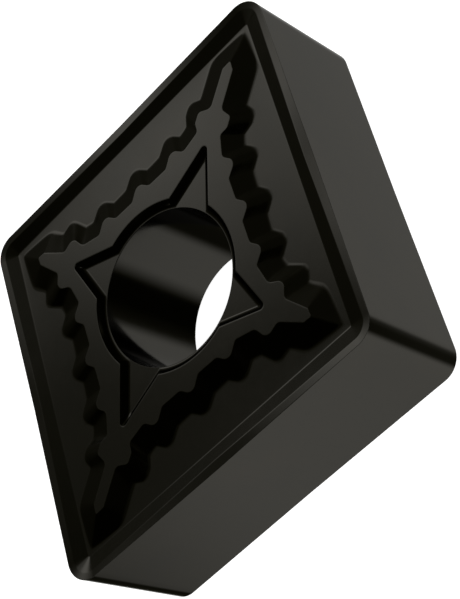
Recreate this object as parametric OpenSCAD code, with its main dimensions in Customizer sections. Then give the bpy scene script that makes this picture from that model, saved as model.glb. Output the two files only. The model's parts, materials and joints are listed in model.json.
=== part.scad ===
// Indexable cutting insert: 80 degree rhombic, negative (square-sided),
// double-sided, with a moulded chip groove on both faces and a through
// hole for the clamping pin. Pressed and sintered as one solid.
//
// Frame: Z is the axis of the hole, X runs through the two 80 degree
// corners, Y through the two 100 degree corners. Z = 0 is the lower seat.
// Heights in the face section are measured from the acute cutting corner.

/* [Body] */
// Diameter of the inscribed circle
ic = 12.7; // [12.6:0.02:12.8]
// Radius of the four cutting corners
nose_r = 0.8; // [0.76:0.02:0.84]
// Included angle at the two acute corners
acute = 80; // [79:0.5:81]
// Thickness, from one seat to the cutting corner of the other face
thickness = 4.76; // [4.2:0.02:5.4]
// Diameter of the through hole
hole_d = 5.16; // [5.0:0.02:5.2]

/* [Cutting edge] */
// How far the seat stands above the cutting corner
seat_up = 0.08; // [0.06:0.01:0.12]
// How far the edge dips towards the middle of a side
edge_dip = 0.056; // [0:0.004:0.08]
// Where the edge is lowest, along the side from the inscribed circle's tangent point
dip_at = 1.05; // [0.6:0.05:1.4]
// Width of the land at the corners
land_end = 0.235; // [0.2:0.005:0.28]
// Width of the land at its widest, at the lowest point of the edge
land_mid = 0.31; // [0.28:0.005:0.36]
// Depth of the land's inner edge below the cutting corner, at the middle of a side
land_deep = 0.05; // [0.03:0.005:0.08]
// The same at the acute corners
ridge_acute = 0.038; // [0.03:0.002:0.05]
// The same at the obtuse corners
ridge_obtuse = 0.024; // [0.02:0.002:0.05]
// Depth of the groove floor below the cutting corner
floor_deep = 0.16; // [0.12:0.01:0.2]
// Distance of the groove floor's outer edge from the side of the insert
floor_in = 0.74; // [0.7:0.01:0.78]

/* [Chip breaker] */
// Distance between neighbouring knobs along a side
knob_pitch = 1.625; // [1.6:0.005:1.65]
// Half width of the long finger that points at an acute corner
finger_w = 0.22; // [0.18:0.01:0.26]
// Where the long finger ends on X
finger_x = 7.4; // [7.3:0.02:7.5]
// Where the short finger ends on Y
finger_y = 6.02; // [5.9:0.02:6.1]
// Half width of the long finger at the foot of its slope
foot_w = 0.98; // [0.94:0.01:1.02]

/* [Star recess] */
// Depth of the recess floor below the cutting corner
star_deep = 0.115; // [0.1:0.005:0.14]
// Radius of the recess between its arms, at the seat
star_r = 2.865; // [2.82:0.005:2.9]
// Where the sides of the two long arms would meet on X, at the seat
star_x = 4.82; // [4.7:0.02:4.9]
// Where the sides of the two short arms would meet on Y, at the seat
star_y = 4.33; // [4.25:0.02:4.4]
// Width of the recess's sloping wall, seen from above
star_slope = 0.265; // [0.25:0.005:0.28]
// Radius of the arm tips at the seat
star_tip = 0.14; // [0.1:0.01:0.16]

/* [Hidden] */
$fn = 96;

R = ic / 2;                           // distance of each side from the centre
half = acute / 2;
sx = sin(half);                       // outward normal of the +X+Y side
cy = cos(half);
core = R - nose_r;                    // distance of the side through the corner centres
span_a = core * cy / sx;              // straight edge, from the tangent point to the acute corner
span_o = core * sx / cy;              // and to the obtuse corner
nose_x = core / sx;                   // centres of the corner radii
nose_y = core / cy;
edge_h = thickness - seat_up;         // between the cutting corners of the two faces
total = edge_h + 2 * seat_up;         // over both seats
z_corner = seat_up + edge_h;          // height of the upper cutting corner
up = 2;                                   // the cutting tools reach this far past the faces
turns = 3;                            // points on each half corner arc, less one

// --- plan curves, first quadrant --------------------------------------
// A corner list holds [x, y, radius, points]. The first and last entries
// lie on the X and Y axes, and the curve is mirrored across both.

function unit(v) = v / norm(v);
function dot(a, b) = a[0] * b[0] + a[1] * b[1];

// points of the arc that rounds corner q between its neighbours p and n
function fillet(p, q, n, r, k) =
    let (u = unit(p - q), v = unit(n - q),
         c = max(-0.9999, min(0.9999, dot(u, v))),
         h = acos(c) / 2,
         t = min(r / tan(h), 0.49 * norm(p - q), 0.49 * norm(n - q)),
         rr = t * tan(h),
         m = q + unit(u + v) * rr / sin(h),
         s = q + u * t - m, e = q + v * t - m,
         a0 = atan2(s[1], s[0]),
         da = ((atan2(e[1], e[0]) - a0 + 540) % 360) - 180)
    [for (i = [0:k - 1]) m + rr * [cos(a0 + da * i / (k - 1)), sin(a0 + da * i / (k - 1))]];

// half arc at a tip on the X axis (first = 1) or on the Y axis (first = 0)
function tip_x(q, n, r) =
    let (h = atan2(n[1], q[0] - n[0]), c = q[0] - r / sin(h))
    [for (i = [0:turns]) [c + r * cos((90 - h) * i / turns), r * sin((90 - h) * i / turns)]];
function tip_y(q, n, r) =
    let (t = tip_x([q[1], 0], [n[1], n[0]], r))
    [for (i = [turns:-1:0]) [t[i][1], t[i][0]]];

function xy(c) = [c[0], c[1]];
function quarter(c) =
    let (n = len(c) - 1)
    concat(tip_x(xy(c[0]), xy(c[1]), c[0][2]),
           [for (i = [1:n - 1]) each fillet(xy(c[i - 1]), xy(c[i]), xy(c[i + 1]), c[i][2], c[i][3])],
           tip_y(xy(c[n]), xy(c[n - 1]), c[n][2]));

// one step along the side, from knob to knob
step = knob_pitch * [-cy, sx];
function at(p, i, r, k) = [p[0] + i * step[0], p[1] + i * step[1], r, k];

// edge of the seat: finger, first knob, three knobs in a row, last knob, short finger
seat_line = concat(
    [[finger_x, 0, 0.06, 0],
     [finger_x - 0.28, finger_w, 0.12, 2],
     [5.80, finger_w + 0.01, 0.22, 2],
     [5.62, 0.70, 0.16, 3],
     [5.24, 0.70, 0.16, 2],
     [4.98, 0.50, 0.16, 2],
     [4.29, 0.85, 0.20, 2]],
    [for (i = [0:2]) each [
        at([4.27, 1.41], i, 0.26, 4),
        at([3.64, 1.385], i, 0.16, 2),
        i < 2 ? at([3.045, 1.91], i, 0.2, 2) : [0.71, 4.10, 0.26, 3]]],
    [[0.89, 4.66, 0.26, 3],
     [0.36, 4.86, 0.2, 2],
     [0.21, 5.82, 0.1, 2],
     [0, finger_y, 0.06, 0]]);

// foot of the slope, with one corner for each corner above
foot_line = concat(
    [[8.46, 0, 0.05, 0],
     [7.44, foot_w, 0.6, 2],
     [6.08, foot_w, 0.1, 2],
     [5.93, 1.41, 0.26, 3],
     [5.52, 1.42, 0.3, 2],
     [5.17, 1.23, 0.12, 2],
     [4.80, 1.40, 0.1, 2]],
    [for (i = [0:2]) each [
        at([4.79, 2.03], i, 0.34, 4),
        at([4.06, 2.03], i, 0.12, 2),
        i < 2 ? at([3.57, 2.41], i, 0.1, 2) : [1.37, 4.42, 0.12, 3]]],
    [[1.50, 5.17, 0.28, 3],
     [0.99, 5.37, 0.1, 2],
     [0.99, 6.03, 0.4, 2],
     [0, 7.02, 0.05, 0]]);

// place along the side of a plan point
function along(p) = p[0] * cy - p[1] * sx;

seat_q = quarter(seat_line);
foot_q = quarter(foot_line);
count = len(seat_q);
mid_a = along(foot_q[turns]);             // ends of the stations beside the corner arcs
mid_o = -along(foot_q[count - 1 - turns]);
places = [for (i = [turns:count - 1 - turns])
    let (a = along(foot_q[i])) a > 0 ? a * span_a / mid_a : a * span_o / mid_o];

// share of the edge's dip at a place along the side
function dip(a) = max(0, 1 - (a > dip_at ? (a - dip_at) / (span_a - dip_at) : (dip_at - a) / (span_o + dip_at)));

// width of the land, and height of its inner edge
function land_w(a) = land_end + (land_mid - land_end) * dip(a);
function ridge(a) = -land_deep + (a > dip_at
    ? (land_deep - ridge_acute) * (a - dip_at) / (span_a - dip_at)
    : (land_deep - ridge_obtuse) * max(0, (-0.8 - a) / (span_o - 0.8)));

// a quarter of a rounded rhombus round the same corner centres: distance be
// from the centre at the corners and bm where the edge is lowest, with a
// point of the height h at each of the places s
function rhomb(s, be, bm, h) = concat(
    [for (i = [0:turns - 1]) let (f = i / turns * (90 - half)) [nose_x + (be - core) * cos(f), (be - core) * sin(f), h[0]]],
    [for (i = [0:len(s) - 1]) let (a = s[i], b = be + (bm - be) * dip(a)) [a * cy + b * sx, -a * sx + b * cy, h[i]]],
    [for (i = [turns - 1:-1:0]) let (f = i / turns * half) [(be - core) * sin(f), nose_y + (be - core) * cos(f), h[len(s) - 1]]]);

// --- the groove, cut by one closed ring-shaped tool ---------------------
out = 0.5;                                // it reaches this far past the sides
over = 0.02;                              // the slope is carried on past the seat by this
edge_b = R - floor_in;
rise = over / (seat_up + floor_deep);
raised = [for (i = [0:count - 1]) let (p = seat_q[i] + (seat_q[i] - foot_q[i]) * rise) [i == count - 1 ? 0 : p[0], i == 0 ? 0 : p[1]]];
function lift(q, z) = [for (p = q) [p[0], p[1], z]];

groove_loops = [
    lift(raised, seat_up + up),
    lift(raised, seat_up + over),
    lift(foot_q, -floor_deep),
    rhomb(places, edge_b, edge_b, [for (a = places) -floor_deep]),
    rhomb(places, R - land_end, R - land_mid, [for (a = places) ridge(a)]),
    rhomb(places, R + out, R + out, [for (a = places) let (e = -edge_dip * dip(a)) e + (e - ridge(a)) * out / land_w(a)])];

// quarter loop to full loop, anticlockwise from +X
function whole(q) =
    let (n = len(q) - 1)
    concat([for (i = [0:n]) q[i]],
           [for (i = [n - 1:-1:0]) [-q[i][0], q[i][1], q[i][2]]],
           [for (i = [1:n]) [-q[i][0], -q[i][1], q[i][2]]],
           [for (i = [n - 1:-1:1]) [q[i][0], -q[i][1], q[i][2]]]);

module ring(loops) {
    n = len(loops[0]);
    m = len(loops);
    polyhedron(
        points = [for (l = loops) each l],
        faces = [for (j = [0:m - 1], i = [0:n - 1])
            let (a = j * n + i, b = j * n + (i + 1) % n,
                 c = ((j + 1) % m) * n + (i + 1) % n, d = ((j + 1) % m) * n + i)
            each [[a, c, b], [a, d, c]]],
        convexity = 6);
}

module groove() {
    ring([for (q = groove_loops) whole(q)]);
}

// --- star recess --------------------------------------------------------
// outline of the star, moved inwards by w, with its tips rounded by r
function arm(w, r) =
    let (ax = atan2(1.29, star_x - 1.69), ay = atan2(1.69, star_y - 1.29),
         px = star_x - w / sin(ax), py = star_y - w / sin(ay),
         // the two arm sides meet at the inner corner
         tx = tan(ax), ty = tan(ay),
         y = (px - py * ty) / (1 / tx - ty),
         x = px - y / tx)
    concat(tip_x([px, 0], [x, y], r), [[x, y]], tip_y([0, py], [x, y], r));

module arms() {
    lo = whole([for (p = arm(star_slope, 0.02)) [p[0], p[1], 0]]);
    hi = whole([for (p = arm(0, star_tip)) [p[0], p[1], 0]]);
    n = len(lo);
    d = star_deep + seat_up;
    e = 0.1;                              // carried on past the seat at the same slope
    top = [for (i = [0:n - 1]) [hi[i][0] + (hi[i][0] - lo[i][0]) * e / d, hi[i][1] + (hi[i][1] - lo[i][1]) * e / d, seat_up + e]];
    bot = [for (i = [0:n - 1]) [lo[i][0], lo[i][1], -star_deep]];
    polyhedron(
        points = concat(bot, top, [[0, 0, -star_deep], [0, 0, seat_up + e]]),
        faces = [for (i = [0:n - 1]) let (k = (i + 1) % n)
            each [[i, n + k, k], [i, n + i, n + k], [k, 2 * n, i], [n + i, 2 * n + 1, n + k]]],
        convexity = 6);
}

// the same sloping wall round the hole, down to a fine break of the hole's rim
module bowl() {
    d = star_deep + seat_up;
    r0 = hole_d / 2 + 0.02;
    k = (star_r - r0) / d;
    translate([0, 0, -star_deep - 0.1])
        cylinder(h = d + 0.2, r1 = r0 - 0.1 * k, r2 = star_r + 0.1 * k);
}

// --- solids --------------------------------------------------------------
module corner(x, y) {
    translate([x, y, 0]) cylinder(h = total, r = nose_r, $fn = 72);
}

module blank() {
    ta = [span_a * cy + R * sx, -span_a * sx + R * cy];    // ends of the straight edge
    to = [-span_o * cy + R * sx, span_o * sx + R * cy];
    linear_extrude(height = total)
        polygon([ta, to, [-to[0], to[1]], [-ta[0], ta[1]], -ta, -to, [to[0], -to[1]], [ta[0], -ta[1]]]);
    corner(nose_x, 0);
    corner(-nose_x, 0);
    corner(0, nose_y);
    corner(0, -nose_y);
}

module upper() {
    translate([0, 0, z_corner]) children();
}

module lower() {
    mirror([0, 0, 1]) translate([0, 0, -seat_up]) children();
}

module insert() {
    color([0.13, 0.13, 0.12])
    difference() {
        blank();
        upper() groove();
        upper() arms();
        upper() bowl();
        lower() groove();
        lower() arms();
        lower() bowl();
        translate([0, 0, -1]) cylinder(h = total + 2, d = hole_d);
    }
}

insert();
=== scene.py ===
import json
import math

import bmesh
import bpy
import numpy as np
from mathutils import Matrix, Vector
from mathutils.geometry import delaunay_2d_cdt

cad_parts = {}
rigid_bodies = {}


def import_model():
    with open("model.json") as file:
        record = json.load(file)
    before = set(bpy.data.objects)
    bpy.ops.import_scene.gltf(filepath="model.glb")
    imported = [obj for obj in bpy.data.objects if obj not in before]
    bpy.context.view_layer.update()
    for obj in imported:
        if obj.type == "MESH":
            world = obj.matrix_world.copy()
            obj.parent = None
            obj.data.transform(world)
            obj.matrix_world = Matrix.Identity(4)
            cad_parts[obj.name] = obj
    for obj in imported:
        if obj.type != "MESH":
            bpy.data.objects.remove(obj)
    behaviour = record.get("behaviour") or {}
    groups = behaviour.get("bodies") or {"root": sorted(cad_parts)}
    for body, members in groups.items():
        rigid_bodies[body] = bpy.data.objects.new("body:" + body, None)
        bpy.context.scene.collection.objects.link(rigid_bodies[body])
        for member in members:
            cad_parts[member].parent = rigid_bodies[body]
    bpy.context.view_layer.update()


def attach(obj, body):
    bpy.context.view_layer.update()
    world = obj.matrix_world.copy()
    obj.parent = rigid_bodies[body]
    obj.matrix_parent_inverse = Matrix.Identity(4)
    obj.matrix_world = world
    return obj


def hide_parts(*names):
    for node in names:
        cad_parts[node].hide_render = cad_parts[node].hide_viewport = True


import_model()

# The visual model of a double-sided 80 degree cutting insert. All shapes are
# worked out in millimetres in the section frame of one face: Z = 0 at the
# cutting corners of that face, X through the 80 degree corners, Y through
# the 100 degree corners. They go to metres in the CAD frame at the end.

MM = 0.001
R = 6.35                              # inscribed radius
NOSE = 0.8
HALF = math.radians(40)
SX, CY = math.sin(HALF), math.cos(HALF)
CORE = R - NOSE
SPAN_A, SPAN_O = CORE * CY / SX, CORE * SX / CY
NOSE_X, NOSE_Y = CORE / SX, CORE / CY
SEAT = 0.08                           # seat above the cutting corner
THICK = 4.76
TOTAL = THICK + SEAT                  # over both seats
TOP = THICK                           # height of the upper cutting corner in the CAD frame
DIP, DIP_AT = 0.056, 1.05
LAND_END, LAND_MID = 0.235, 0.31
RIDGE_ACUTE, RIDGE_MID, RIDGE_OBTUSE = 0.038, 0.05, 0.024   # depth of the land's inner edge
FLOOR, FLOOR_IN = 0.16, 0.74
HOLE = 2.58
STAR_DEEP, STAR_R, STAR_X, STAR_Y, STAR_W, STAR_TIP = 0.115, 2.853, 4.79, 4.305, 0.265, 0.14

# --- plan curves --------------------------------------------------------------


def unit(v):
    return v / math.hypot(*v)


def arc_at(p, q, n, r):
    """Centre, radius and the two angles of the arc that rounds corner q."""
    u, v = unit(p - q), unit(n - q)
    h = math.acos(max(-0.9999, min(0.9999, float(u @ v)))) / 2
    t = min(r / math.tan(h), 0.49 * math.hypot(*(p - q)), 0.49 * math.hypot(*(n - q)))
    r = t * math.tan(h)
    m = q + unit(u + v) * r / math.sin(h)
    s, e = q + u * t - m, q + v * t - m
    a0 = math.atan2(s[1], s[0])
    da = (math.atan2(e[1], e[0]) - a0 + 3 * math.pi) % (2 * math.pi) - math.pi
    return m, r, a0, da


def tip_x(q, n, r, k):
    """Half arc at a tip on the X axis, k + 1 points."""
    h = math.atan2(n[1], q[0] - n[0])
    c = q[0] - r / math.sin(h)
    f = (math.pi / 2 - h) * np.arange(k + 1) / k
    return np.column_stack([c + r * np.cos(f), r * np.sin(f)])


def tip_y(q, n, r, k):
    return tip_x((q[1], 0), (n[1], n[0]), r, k)[::-1, ::-1]


STEP = 1.625 * np.array([-CY, SX])    # from knob to knob along a side


def at(p, i, r):
    return (p[0] + i * STEP[0], p[1] + i * STEP[1], r)


SEAT_LINE = [(7.4, 0, 0.06), (7.12, 0.22, 0.12), (5.80, 0.23, 0.22), (5.62, 0.70, 0.16),
             (5.24, 0.70, 0.16), (4.98, 0.50, 0.16), (4.29, 0.85, 0.20)]
FOOT_LINE = [(8.46, 0, 0.05), (7.44, 0.98, 0.6), (6.08, 0.98, 0.1), (5.93, 1.41, 0.26),
             (5.52, 1.42, 0.3), (5.17, 1.23, 0.12), (4.80, 1.40, 0.1)]
for i in range(3):
    SEAT_LINE += [at((4.27, 1.41), i, 0.26), at((3.64, 1.385), i, 0.16),
                  at((3.045, 1.91), i, 0.2) if i < 2 else (0.71, 4.10, 0.26)]
    FOOT_LINE += [at((4.79, 2.03), i, 0.34), at((4.06, 2.03), i, 0.12),
                  at((3.57, 2.41), i, 0.1) if i < 2 else (1.37, 4.42, 0.12)]
SEAT_LINE += [(0.89, 4.66, 0.26), (0.36, 4.86, 0.2), (0.21, 5.82, 0.1), (0, 6.02, 0.06)]
FOOT_LINE += [(1.50, 5.17, 0.28), (0.99, 5.37, 0.1), (0.99, 6.03, 0.4), (0, 7.02, 0.05)]


def quarters(lines, tips, fine):
    """The same number of points on each curve, matched corner by corner."""
    lines = [[np.array(c, float) for c in line] for line in lines]
    n = len(lines[0]) - 1
    arcs = [[arc_at(l[i - 1][:2], l[i][:2], l[i + 1][:2], l[i][2]) for i in range(1, n)] for l in lines]
    out = []
    ends = []
    for l in lines:
        ends.append((tip_x(l[0][:2], l[1][:2], l[0][2], tips), tip_y(l[n][:2], l[n - 1][:2], l[n][2], tips)))
    ks = [max(4, *(int(abs(a[i][3]) / math.radians(9) + abs(a[i][3] * a[i][1]) / fine) for a in arcs)) for i in range(n - 1)]

    def run(p, q, m):
        return [p + (q - p) * j / m for j in range(1, m)]

    gaps = None
    for rnd in (0, 1):
        sets = []
        for l, a, e in zip(lines, arcs, ends):
            ps = [list(e[0])]
            for i in range(n - 1):
                m, r, a0, da = a[i]
                ps.append([m + r * np.array([math.cos(a0 + da * j / ks[i]), math.sin(a0 + da * j / ks[i])]) for j in range(ks[i] + 1)])
            ps.append(list(e[1]))
            sets.append(ps)
        if rnd == 0:
            gaps = [max(1, *(int(math.hypot(*(s[i + 1][0] - s[i][-1])) / (3 * fine)) for s in sets)) for i in range(n)]
    for ps in sets:
        q = []
        for i, block in enumerate(ps):
            q += block
            if i < n:
                q += run(block[-1], ps[i + 1][0], gaps[i])
        out.append(np.array(q))
    return out


def whole(q):
    """A quarter curve, from +X to +Y, carried round to a closed curve."""
    a = np.array(q, float)
    a[0, 1] = 0
    a[-1, 0] = 0
    neg = lambda b, sx, sy: b * ([sx, sy] + [1] * (b.shape[1] - 2))
    return np.concatenate([a, neg(a[-2::-1], -1, 1), neg(a[1:], -1, -1), neg(a[-2:0:-1], 1, -1)])


def dip(a):
    a = np.asarray(a, float)
    return np.clip(1 - np.where(a > DIP_AT, (a - DIP_AT) / (SPAN_A - DIP_AT), (DIP_AT - a) / (SPAN_O + DIP_AT)), 0, None)


PLACES = np.concatenate([np.linspace(SPAN_A, DIP_AT, 26), np.linspace(DIP_AT, -SPAN_O, 26)[1:]])
NOSE_TURNS = 16


def ridge(a):
    """Height of the land's inner edge at a place along the side."""
    acute = (RIDGE_MID - RIDGE_ACUTE) * (a - DIP_AT) / (SPAN_A - DIP_AT)
    obtuse = (RIDGE_MID - RIDGE_OBTUSE) * np.clip((-0.8 - a) / (SPAN_O - 0.8), 0, None)
    return -RIDGE_MID + np.where(a > DIP_AT, acute, obtuse)


def rhomb(be, bm, h):
    """A quarter of a rounded rhombus: distance be at the corners and bm where the edge is lowest, height h at each of the places."""
    f = np.arange(NOSE_TURNS) / NOSE_TURNS * (math.pi / 2 - HALF)
    g = np.arange(NOSE_TURNS - 1, -1, -1) / NOSE_TURNS * HALF
    b = be + (bm - be) * dip(PLACES)
    h = np.broadcast_to(h, len(PLACES))
    acute = np.column_stack([NOSE_X + (be - CORE) * np.cos(f), (be - CORE) * np.sin(f), np.full(len(f), h[0])])
    side = np.column_stack([PLACES * CY + b * SX, -PLACES * SX + b * CY, h])
    obtuse = np.column_stack([(be - CORE) * np.sin(g), NOSE_Y + (be - CORE) * np.cos(g), np.full(len(g), h[-1])])
    return np.concatenate([acute, side, obtuse])


# --- sections -------------------------------------------------------------------


def blend(p, q, r, cut_p, cut_q, n):
    """Points of a parabola that rounds corner q between p and r, starting cut_p and cut_q away from it, in any number of stations at once."""
    a = q + (p - q) * (cut_p / np.linalg.norm(p - q, axis=1))[:, None]
    b = q + (r - q) * (cut_q / np.linalg.norm(r - q, axis=1))[:, None]
    return [(1 - t) ** 2 * a + 2 * t * (1 - t) * q + t * t * b for t in np.arange(n + 1) / n]


def between(p, q, t):
    return p + (q - p) * t


verts, faces = [], []


def put(loop):
    """Adds a closed loop of points; returns their numbers."""
    first = len(verts)
    verts.extend(map(tuple, loop))
    return np.arange(first, first + len(loop))


def strip(a, b):
    """Quads between two loops of the same length, a nearer the axis or higher."""
    n = len(a)
    for i in range(n):
        k = (i + 1) % n
        faces.append((a[i], b[i], b[k], a[k]))


def loops(rows):
    ids = [put(r) for r in rows]
    for a, b in zip(ids, ids[1:]):
        strip(a, b)
    return ids


def inside(poly, pts):
    """Whether each point is inside the polygon."""
    x, y = pts[:, 0][:, None], pts[:, 1][:, None]
    x0, y0 = poly[:, 0][None], poly[:, 1][None]
    x1, y1 = np.roll(poly[:, 0], -1)[None], np.roll(poly[:, 1], -1)[None]
    hit = ((y0 > y) != (y1 > y)) & (x < (x1 - x0) * (y - y0) / np.where(y1 == y0, 1e-12, y1 - y0) + x0)
    return hit.sum(1) % 2 == 1


def flat(inner, outer):
    """Triangles of the flat ring between two loops at one height."""
    ids = np.concatenate([inner, outer])
    n, m = len(inner), len(outer)
    # a hair of unevenness keeps points that lie in line apart from a straight edge
    uneven = np.random.default_rng(7).uniform(-1, 1, (n + m, 2)) * 5e-4
    pts = np.array([verts[i][:2] for i in ids]) + uneven
    edges = [(i, (i + 1) % n) for i in range(n)] + [(n + i, n + (i + 1) % m) for i in range(m)]
    made, _, tris, origin, _, _ = delaunay_2d_cdt([Vector(p) for p in pts], edges, [], 0, 1e-7)
    odd = [(round(v[0], 3), round(v[1], 3), len(o)) for v, o in zip(made, origin) if len(o) != 1]
    assert not odd, f"loops of a flat face cross or touch at {odd[:12]}"
    back = [o[0] for o in origin]
    tris = np.array([[back[i] for i in t] for t in tris])
    mid = pts[tris].mean(1)
    tris = tris[inside(pts[n:], mid) & ~inside(pts[:n], mid)]
    assert len(tris) == n + m, f"a flat face has {len(tris)} triangles, not {n + m}"
    a, b, c = pts[tris[:, 0]], pts[tris[:, 1]], pts[tris[:, 2]]
    turn = (b - a)[:, 0] * (c - a)[:, 1] - (b - a)[:, 1] * (c - a)[:, 0]
    tris[turn < 0] = tris[turn < 0][:, ::-1]
    faces.extend(tuple(ids[t]) for t in tris)


def lift(p, z):
    return np.column_stack([p[:, :2], np.broadcast_to(z, len(p))])


# --- star recess and hole ---------------------------------------------------------


def star(w, r):
    """Quarter outline of the recess, moved inwards by w, with its tips rounded by r."""
    ax, ay = math.atan2(1.29, 3.13), math.atan2(1.69, 3.04)
    px, py = STAR_X - w / math.sin(ax), STAR_Y - w / math.sin(ay)
    tx, ty = math.tan(ax), math.tan(ay)
    rad = STAR_R - w * (STAR_R - HOLE - 0.02) / STAR_W

    def meet(p, t):
        """Where the side from (p, 0) falling by t meets the circle."""
        # y = (p - x) t;  x^2 + y^2 = rad^2
        a, b, c = 1 + t * t, -2 * p * t * t, p * p * t * t - rad * rad
        x = (-b + math.sqrt(b * b - 4 * a * c)) / (2 * a)
        return x, (p - x) * t

    cx = meet(px, tx)
    cy = meet(py, ty)[::-1]
    k = 10
    one, two = tip_x((px, 0), cx, r, k), tip_y((0, py), cy, r, k)
    side_x = [between(one[-1], np.array(cx), j / 12) for j in range(1, 12)]
    side_y = [between(np.array(cy), two[0], j / 10) for j in range(1, 10)]
    f = np.linspace(math.atan2(cx[1], cx[0]), math.atan2(cy[1], cy[0]), 19)
    ring = np.column_stack([rad * np.cos(f), rad * np.sin(f)])
    return np.concatenate([one, side_x, ring, side_y, two])


drop = SEAT + STAR_DEEP
hollow = 0.1                          # the wall runs out into the floor in a curve twice this wide
grade = drop / (STAR_W - hollow)
tau = 0.006
rows = []
section = [(-0.05, SEAT)] + [(-tau + 2 * tau * t, SEAT - grade * tau * t * t) for t in np.arange(5) / 4]
section += [(tau + 0.015, SEAT - (tau + 0.015) * grade)]
section += [(STAR_W - 2 * hollow * (1 - t), -STAR_DEEP + hollow * grade * (1 - t) ** 2) for t in np.arange(9) / 8]
section += [(STAR_W + 0.0015, -STAR_DEEP)]
for w, z in section:
    r = STAR_TIP + (0.02 - STAR_TIP) * min(max(w, 0) / STAR_W, 1) + max(-w, 0)
    rows.append(whole(lift(star(w, r), z)))
star_ids = loops(rows[::-1])[::-1]    # from the floor outwards

# the floor of the arms runs to the rim of the hole
foot = rows[-1]
angle = np.arctan2(foot[:, 1], foot[:, 0])
rim = lambda r, z: np.column_stack([r * np.cos(angle), r * np.sin(angle), np.full(len(angle), z)])
hone = 0.01
bore_rows = [rim(HOLE + hone + 0.002, -STAR_DEEP)]
for t in np.linspace(0, math.pi / 2, 5):
    bore_rows.append(rim(HOLE + hone - hone * math.sin(t), -STAR_DEEP - hone + hone * math.cos(t)))
bore_rows.append(rim(HOLE, -STAR_DEEP - hone - 0.02))
for z in np.linspace(-STAR_DEEP - 0.3, SEAT - TOTAL / 2, 5):
    bore_rows.append(rim(HOLE, z))
bore_ids = loops(bore_rows[::-1])[::-1]
strip(bore_ids[0], star_ids[-1])
mid_bore = bore_ids[-1]

# --- knobbed slope ------------------------------------------------------------------

seat_q, foot_q = quarters([SEAT_LINE, FOOT_LINE], 8, 0.035)
seat, foot = whole(seat_q), whole(foot_q)
S, F = lift(seat, SEAT), lift(foot, -FLOOR)
way = (F - S)[:, :2]
width = np.linalg.norm(way, axis=1)
way = np.column_stack([way / width[:, None], np.zeros(len(way))])


def roomy(c, d, most, least):
    """How far each point of the closed curve c can move along d before its neighbours run into it, smoothed along the curve."""
    run = (np.roll(c, -1, 0) - c)[:, :2]
    size = np.linalg.norm(run, axis=1)
    close = -((np.roll(d, -1, 0) - d)[:, :2] * run).sum(1) / size
    room = np.where(close > 1e-9, 0.7 * size / np.maximum(close, 1e-9), most)
    room = np.clip(np.minimum(room, np.roll(room, 1)), least, most)
    where = np.cumsum(size) - size
    gap = np.abs(where[:, None] - where[None])
    gap = np.minimum(gap, size.sum() - gap)
    near = np.where(gap < 0.07, room[None], most).min(1)
    weight = np.exp(-(gap / 0.05) ** 2 / 2) * ((size + np.roll(size, 1)) / 2)[None]
    return np.minimum(near, (weight * near[None]).sum(1) / weight.sum(1))


size = np.linalg.norm(np.roll((S + F) / 2, -1, 0) - (S + F) / 2, axis=1)
where = np.cumsum(size) - size
gap = np.abs(where[:, None] - where[None])
gap = np.minimum(gap, size.sum() - gap)
share = (size + np.roll(size, 1))[None] / 2


def soft(t, spread):
    """The curve at t of the way down the slope, with its corners softened along the curve."""
    weight = np.exp(-(gap / spread) ** 2 / 2) * share
    return weight @ between(S, F, t) / weight.sum(1)[:, None]


top_cut = 0.016
cut = 0.03                            # blend of the groove floor into the rake
D1, D2, D3, D4 = soft(0.17, 0.05), soft(0.34, 0.095), soft(0.5, 0.12), soft(1, 0.07)
width = np.linalg.norm((D4 - S)[:, :2], axis=1)
way = (D4 - D3) * [1, 1, 0]
way /= np.linalg.norm(way, axis=1)[:, None]
reach = R - FLOOR_IN - cut - 0.035 - SX * np.abs(D4[:, 0]) - CY * np.abs(D4[:, 1])
reach = reach / np.maximum(SX * np.abs(way[:, 0]) + CY * np.abs(way[:, 1]), 0.05)
foot_cut = np.minimum(np.minimum(roomy(D4, way, 0.11, 0.03) - 0.02, 0.4 * width), reach)
rows = [S - (D1 - S) * [1, 1, 0] / np.linalg.norm((D1 - S)[:, :2], axis=1)[:, None] * 0.05]
IN = S - (S - rows[0]) * 6
rows += blend(IN, S, D1, top_cut, top_cut, 4)
rows += [between(S, D1, ((top_cut + 0.02) / np.linalg.norm(D1 - S, axis=1))[:, None]), D1, D2, D3]
rows += [D4 + (D3 - D4) * ((foot_cut + 0.02) / np.linalg.norm(D3 - D4, axis=1))[:, None]]
rows += blend(D3, D4, D4 + way * 0.3, foot_cut, foot_cut, 6)
rows += [D4 + way * (foot_cut + 0.018)[:, None]]
print("foot blend", foot_cut.min().round(3), foot_cut.max().round(3), "stations", len(S))
slope_ids = loops(rows)
flat(star_ids[0], slope_ids[0])

# --- rake, land, edge and side --------------------------------------------------------

E1 = whole(rhomb(R - FLOOR_IN, R - FLOOR_IN, -FLOOR))
E2 = whole(rhomb(R - LAND_END, R - LAND_MID, ridge(PLACES)))
E3 = whole(rhomb(R, R, -DIP * dip(PLACES)))
E4 = lift(E3, SEAT - TOTAL / 2)
rake = np.linalg.norm(E2 - E1, axis=1)[:, None]
land = np.linalg.norm(E3 - E2, axis=1)[:, None]
rows = []
inner = whole(rhomb(R - FLOOR_IN - cut, R - FLOOR_IN - cut, -FLOOR))
a, b = inner, between(E1, E2, cut / rake)
rows += [(1 - t) ** 2 * a + 2 * t * (1 - t) * E1 + t * t * b for t in np.arange(5) / 4]
rows += [between(E1, E2, (cut + 0.02) / rake), between(E2, E1, 0.035 / rake)]
rows += blend(E1, E2, E3, 0.02, 0.02, 4)
rows += [between(E2, E3, 0.035 / land), between(E3, E2, 0.036 / land)]
rows += blend(E2, E3, E4, 0.009, 0.009, 6)
for z in (0.036, 0.6, 1.3):
    rows.append(lift(E3, E3[:, 2] - z))
rows.append(E4)
edge_ids = loops(rows)
flat(slope_ids[-1], edge_ids[0])
mid_side = edge_ids[-1]

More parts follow.
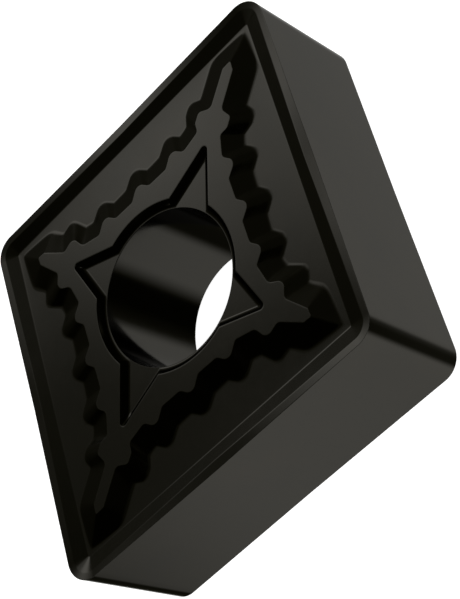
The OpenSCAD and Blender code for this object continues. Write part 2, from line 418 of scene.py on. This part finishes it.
# --- both faces ------------------------------------------------------------------------

upper = np.array(verts)
count = len(upper)
rubbed = np.zeros(count)              # where the edges are honed and rubbed
rubbed[np.concatenate(edge_ids[14:21])] = 1
rubbed[np.concatenate(slope_ids[1:6])] = 0.5
rubbed[np.concatenate(star_ids[1:6])] = 0.4
bore_shade = np.zeros(count)              # painted shade: the walls of the hole get a darker tone of the coating
bore_shade[np.concatenate(bore_ids[6:])] = 1
middle = SEAT - TOTAL / 2
twin = np.arange(count) + count
shared = np.concatenate([mid_bore, mid_side])
twin[shared] = shared
lower = upper * [1, 1, -1] + [0, 0, 2 * middle]
points = np.concatenate([upper, lower])
all_faces = faces + [tuple(twin[list(f)][::-1]) for f in faces]
used = np.zeros(2 * count, bool)
for f in all_faces:
    used[list(f)] = True
new = np.cumsum(used) - 1
points = (points[used] + [0, 0, TOP]) * MM

mesh = bpy.data.meshes.new("insert_body")
mesh.from_pydata(points.tolist(), [], [[int(new[i]) for i in f] for f in all_faces])
mesh.update()
mesh.validate()
mesh.polygons.foreach_set("use_smooth", [True] * len(mesh.polygons))
for name, level in (("rubbed", rubbed), ("in_hole", bore_shade)):
    mesh.attributes.new(name, "FLOAT", "POINT").data.foreach_set("value", np.concatenate([level, level])[used])
bm = bmesh.new()
bm.from_mesh(mesh)
open_edges = sum(not e.is_manifold for e in bm.edges)
volume = bm.calc_volume(signed=True)
tri_count = sum(len(f.verts) - 2 for f in bm.faces)
bm.free()
print(f"insert_body: {len(points)} points, {tri_count} triangles, {open_edges} open edges, {volume * 1e9:.2f} mm3")

body = bpy.data.objects.new("insert_body", mesh)
bpy.context.scene.collection.objects.link(body)
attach(body, "root")
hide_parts("insert")

# --- material ------------------------------------------------------------------------------


def link(tree, a, b):
    tree.links.new(a, b)


mat = bpy.data.materials.new("coated_carbide")
mat.use_nodes = True
nt = mat.node_tree
nt.nodes.clear()
out = nt.nodes.new("ShaderNodeOutputMaterial")
bsdf = nt.nodes.new("ShaderNodeBsdfPrincipled")
link(nt, bsdf.outputs["BSDF"], out.inputs["Surface"])
bsdf.inputs["Metallic"].default_value = 1.0
bsdf.inputs["Specular Tint"].default_value = (0.55, 0.55, 0.55, 1)
place = nt.nodes.new("ShaderNodeTexCoord")


def noise(scale, detail, rough, stretch=None):
    """Noise in the piece's own metres, about 0 to 1 with a mean of 0.5."""
    n = nt.nodes.new("ShaderNodeTexNoise")
    n.inputs["Scale"].default_value = scale
    n.inputs["Detail"].default_value = detail
    n.inputs["Roughness"].default_value = rough
    src = place.outputs["Object"]
    if stretch:
        m = nt.nodes.new("ShaderNodeMapping")
        m.inputs["Scale"].default_value = stretch
        link(nt, src, m.inputs["Vector"])
        src = m.outputs["Vector"]
    link(nt, src, n.inputs["Vector"])
    return n.outputs["Fac"]


def ramp(x, a, b, lo, hi, smooth=False):
    n = nt.nodes.new("ShaderNodeMapRange")
    n.interpolation_type = "SMOOTHSTEP" if smooth else "LINEAR"
    link(nt, x, n.inputs["Value"])
    for name, v in (("From Min", a), ("From Max", b), ("To Min", lo), ("To Max", hi)):
        n.inputs[name].default_value = v
    return n.outputs["Result"]


def calc(op, a, b):
    n = nt.nodes.new("ShaderNodeMath")
    n.operation = op
    for i, v in enumerate((a, b)):
        if isinstance(v, (int, float)):
            n.inputs[i].default_value = v
        else:
            link(nt, v, n.inputs[i])
    return n.outputs[0]


# the coating: its thickness varies a little from place to place, which shifts
# its tone, and its fine grain and the faint lines left on the ground flanks
# show in the gloss; the honed edges are rubbed a shade paler and duller
drift = noise(420.0, 3.0, 0.55)                  # a few millimetres
patches = noise(2600.0, 4.0, 0.6)                # a few tenths of a millimetre
grain = noise(26000.0, 2.0, 0.5)                 # the grain of the coating
lines = noise(9000.0, 2.0, 0.5, (1.0, 1.0, 0.03))
face = nt.nodes.new("ShaderNodeSeparateXYZ")
link(nt, place.outputs["Normal"], face.inputs[0])
flank = ramp(calc("ABSOLUTE", face.outputs[2], 0.0), 0.1, 0.3, 1.0, 0.0, True)
wear_mark, hole_shade_mark = (nt.nodes.new("ShaderNodeAttribute") for _ in range(2))
wear_mark.attribute_name, hole_shade_mark.attribute_name = "rubbed", "in_hole"
rub = calc("MULTIPLY", wear_mark.outputs["Fac"], ramp(noise(5200.0, 3.0, 0.6), 0.4, 0.62, 0.25, 1.0, True))
gloss = calc("ADD", ramp(patches, 0.3, 0.7, 0.105, 0.135), calc("MULTIPLY", flank, ramp(lines, 0.3, 0.7, -0.012, 0.012)))
gloss = calc("ADD", gloss, calc("MULTIPLY", rub, 0.1))
link(nt, gloss, bsdf.inputs["Roughness"])
tone_mix = nt.nodes.new("ShaderNodeMix")
tone_mix.data_type = "RGBA"
link(nt, ramp(calc("ADD", calc("MULTIPLY", drift, 0.65), calc("MULTIPLY", patches, 0.35)), 0.35, 0.65, 0.0, 1.0), tone_mix.inputs[0])
tone_mix.inputs[6].default_value = (0.0617, 0.0600, 0.0549, 1)
tone_mix.inputs[7].default_value = (0.0653, 0.0624, 0.0561, 1)
rub_mix = nt.nodes.new("ShaderNodeMix")
rub_mix.data_type = "RGBA"
link(nt, calc("MULTIPLY", rub, 0.35), rub_mix.inputs[0])
link(nt, tone_mix.outputs[2], rub_mix.inputs[6])
rub_mix.inputs[7].default_value = (0.12, 0.118, 0.11, 1)
# painted shade: down the hole the coating's colour is mixed towards a darker tone, standing in for the shade there
hole_shade_mix = nt.nodes.new("ShaderNodeMix")
hole_shade_mix.data_type = "RGBA"
link(nt, hole_shade_mark.outputs["Fac"], hole_shade_mix.inputs[0])
link(nt, rub_mix.outputs[2], hole_shade_mix.inputs[6])
hole_shade_mix.inputs[7].default_value = (0.0525, 0.0508, 0.0462, 1)
link(nt, hole_shade_mix.outputs[2], bsdf.inputs["Base Color"])
bump = nt.nodes.new("ShaderNodeBump")
bump.inputs["Strength"].default_value = 1.0
bump.inputs["Distance"].default_value = 1.0
height = calc("ADD", calc("MULTIPLY", grain, 1.1e-7), calc("MULTIPLY", calc("MULTIPLY", flank, lines), 0.8e-7))
link(nt, height, bump.inputs["Height"])
link(nt, bump.outputs["Normal"], bsdf.inputs["Normal"])
mesh.materials.append(mat)

# --- studio ------------------------------------------------------------------------------------

floor_mesh = bpy.data.meshes.new("floor")
profile = [(0.0, 0.0), (0.15, 0.0), (0.3, 0.0), (0.45, 0.0)]
profile += [(0.45 + 0.3 * math.sin(t), 0.3 - 0.3 * math.cos(t)) for t in np.linspace(0, math.pi / 2, 16)[1:]]
profile += [(0.75, 0.75)]
turns = 96
ring_points = [(r * math.cos(2 * math.pi * i / turns), r * math.sin(2 * math.pi * i / turns), z) for r, z in profile[1:] for i in range(turns)]
quads = [(0, 1 + i, 1 + (i + 1) % turns) for i in range(turns)]
for j in range(len(profile) - 2):
    for i in range(turns):
        k = (i + 1) % turns
        quads.append((1 + j * turns + i, 1 + (j + 1) * turns + i, 1 + (j + 1) * turns + k, 1 + j * turns + k))
floor_mesh.from_pydata([(0, 0, 0)] + ring_points, [], quads)
floor_mesh.polygons.foreach_set("use_smooth", [True] * len(floor_mesh.polygons))
floor = bpy.data.objects.new("floor", floor_mesh)
bpy.context.scene.collection.objects.link(floor)
floor.location.z = -2e-6
fmat = bpy.data.materials.new("pale_floor")
fmat.use_nodes = True
fb = fmat.node_tree.nodes["Principled BSDF"]
fb.inputs["Base Color"].default_value = (0.5, 0.5, 0.5, 1)
fb.inputs["Roughness"].default_value = 0.9
fb.inputs["Specular IOR Level"].default_value = 0.0
fb.inputs["Emission Color"].default_value = (1, 1, 1, 1)
fb.inputs["Emission Strength"].default_value = 1.0
floor_mesh.materials.append(fmat)
floor.visible_glossy = False

world = bpy.data.worlds.new("studio")
bpy.context.scene.world = world
world.use_nodes = True
wt = world.node_tree
wt.nodes.clear()


def math_node(op, a, b=None, c=None):
    n = wt.nodes.new("ShaderNodeMath")
    n.operation = op
    for i, v in enumerate((a, b, c)):
        if v is None:
            continue
        if isinstance(v, (int, float)):
            n.inputs[i].default_value = v
        else:
            link(wt, v, n.inputs[i])
    return n.outputs[0]


def step(x, lo, hi):
    """0 below lo, 1 above hi, smooth between."""
    n = wt.nodes.new("ShaderNodeMapRange")
    n.interpolation_type = "SMOOTHSTEP"
    link(wt, x, n.inputs["Value"])
    n.inputs["From Min"].default_value = lo
    n.inputs["From Max"].default_value = hi
    return n.outputs["Result"]


tc = wt.nodes.new("ShaderNodeTexCoord")
sep = wt.nodes.new("ShaderNodeSeparateXYZ")
link(wt, tc.outputs["Generated"], sep.inputs[0])
dx, dy, dz = sep.outputs
deg = 180 / math.pi
az = math_node("MULTIPLY", math_node("ARCTAN2", dx, dy), deg)      # from +Y towards +X
el = math_node("MULTIPLY", math_node("ARCSINE", dz), deg)
mul = lambda a, b: math_node("MULTIPLY", a, b)
add = lambda a, b: math_node("ADD", a, b)
inv = lambda a: math_node("SUBTRACT", 1.0, a)


def window(x, a, b, c, d):
    return mul(step(x, a, b), inv(step(x, c, d)))


def times(*f):
    out = f[0]
    for x in f[1:]:
        out = mul(out, x)
    return out


def off(x, lo, hi):
    return inv(step(x, lo, hi))


def part(level, *f):
    return mul(times(*f), level)


def total(*f):
    out = f[0]
    for x in f[1:]:
        out = add(out, x)
    return out


def past(x, edge, slope):
    """How far x is past the edge, times slope."""
    return mul(math_node("MAXIMUM", math_node("SUBTRACT", x, edge), 0.0), slope)


# upper half: one large soft panel behind the insert, dimmer above its middle,
# with the weaker light that it throws on the studio round it
lean = math_node("SUBTRACT", az, past(el, 46.7, 1.4))
panel = part(0.86, step(lean, 0.0, 14.4), off(az, 15.7, 39.3), step(el, 27.0, 35.4), off(el, 54.0, 57.6),
             inv(mul(step(el, 42.4, 48.3), 0.55)))
frame_glow = part(0.053, step(az, -25.0, -5.4), off(az, 30.5, 55.5), step(el, 33.0, 37.9), off(el, 53.0, 63.4))
far = math_node("SUBTRACT", az, past(el, 45.0, 0.5))
room = part(0.032, step(az, -36.0, -7.0), off(far, 57.8, 71.6), off(el, 73.7, 86.0))
wall = part(0.054, step(az, -13.5, 11.3), off(az, 25.9, 56.4), off(el, 40.0, 64.7))
skirt = part(0.065, step(az, 2.4, 19.6), off(az, 24.0, 33.0), step(el, 14.7, 25.6), off(el, 35.6, 49.7))
crown = part(0.023, step(az, 14.6, 24.4), off(az, 33.7, 43.2), step(el, 49.7, 55.7), off(el, 60.6, 68.5))
# a weaker panel low on the other side of the studio
far_az = math_node("ABSOLUTE", math_node("WRAP", math_node("SUBTRACT", az, 180.0), 180.0, -180.0))
front = part(0.5, off(far_az, 12.0, 30.0), step(el, 3.0, 10.0), off(el, 27.0, 36.0))
# and soft light from the sides and from above the camera, for the other views
turn = math_node("WRAP", az, 360.0, 0.0)                          # 0 to 360
ledge = part(0.42, step(turn, 98.0, 122.0), off(turn, 246.0, 262.0), step(el, 2.0, 8.0), off(el, 17.0, 25.0), step(far_az, 12.0, 30.0))
side = part(0.42, step(turn, 291.0, 300.0), off(turn, 308.0, 319.0), step(el, 3.0, 10.0), off(el, 25.0, 33.0))
canopy = part(0.4, step(turn, 146.0, 158.0), off(turn, 194.0, 206.0), step(el, 67.0, 74.0), off(el, 80.0, 88.0))
above = step(el, -3.0, 0.0)
upper_light = mul(above, total(panel, frame_glow, room, wall, skirt, crown, front, ledge, side, canopy))

# lower half: the pale table seen from below its edge, with two dark gaps
deep = off(el, -36.0, -28.0)
early = add(turn, mul(add(el, 50.0), 0.9))
gap_a = times(add(mul(step(early, 102.0, 124.0), 0.94), mul(step(turn, 115.0, 145.0), 0.055)),
              off(add(turn, mul(add(el, 46.0), -0.5)), 174.0, 203.0), deep)
late = add(turn, mul(add(el, 48.0), 0.8))
gap_b = part(0.94, step(late, 259.5, 281.0), off(turn, 319.0, 331.0), deep)
near_side = times(step(turn, 175.0, 215.0), off(turn, 262.0, 290.0))
table = add(total(part(0.06, step(az, 40.0, 75.0), off(az, 100.0, 125.0)), part(-0.16, step(el, -36.0, -6.0)),
                  part(-0.12, near_side, step(el, -46.0, -43.0))), 0.81)
gap_glow = mul(off(el, -54.0, -50.5), add(part(0.07, add(gap_a, gap_b)), part(0.09, gap_a, off(turn, 120.0, 150.0))))
lower_light = mul(inv(above), add(times(table, inv(gap_a), inv(gap_b)), gap_glow))
level = add(add(upper_light, lower_light), 0.004)

# the dim parts of the studio are a little warmer than the lights
tone = wt.nodes.new("ShaderNodeCombineColor")
link(wt, add(math_node("DIVIDE", 0.002, add(level, 0.01)), 1.0), tone.inputs[0])
tone.inputs[1].default_value = 1.0
link(wt, math_node("DIVIDE", level, add(level, 0.03)), tone.inputs[2])
bg = wt.nodes.new("ShaderNodeBackground")
link(wt, tone.outputs[0], bg.inputs["Color"])
link(wt, level, bg.inputs["Strength"])
wo = wt.nodes.new("ShaderNodeOutputWorld")
link(wt, bg.outputs[0], wo.inputs["Surface"])

# --- camera ---------------------------------------------------------------------------------------
# The view of the photograph, solved from the outline: rotation, place and focal length.

rx, ry, rz = 1.9494, -1.51, -0.4863
t = np.array([-2.0149, -0.4295, 50.2601])
focal = 1610.8834
ang = math.sqrt(rx * rx + ry * ry + rz * rz)
rot = np.array(Matrix.Rotation(ang, 3, Vector((rx, ry, rz)).normalized()))
eye = -rot.T @ t + [0, 0, TOP]
cam = bpy.data.cameras.new("camera")
cam.sensor_width = 36.0
cam.lens = focal * 36.0 / 599
cam.clip_start, cam.clip_end = 0.001, 20
cam_obj = bpy.data.objects.new("camera", cam)
bpy.context.scene.collection.objects.link(cam_obj)
m = Matrix.Identity(4)
for i in range(3):
    m[i][0], m[i][1], m[i][2], m[i][3] = rot[0][i], -rot[1][i], -rot[2][i], eye[i] * MM
cam_obj.matrix_world = m
bpy.context.scene.camera = cam_obj

bpy.context.scene.view_settings.view_transform = "Standard"
bpy.context.scene.view_settings.look = "None"
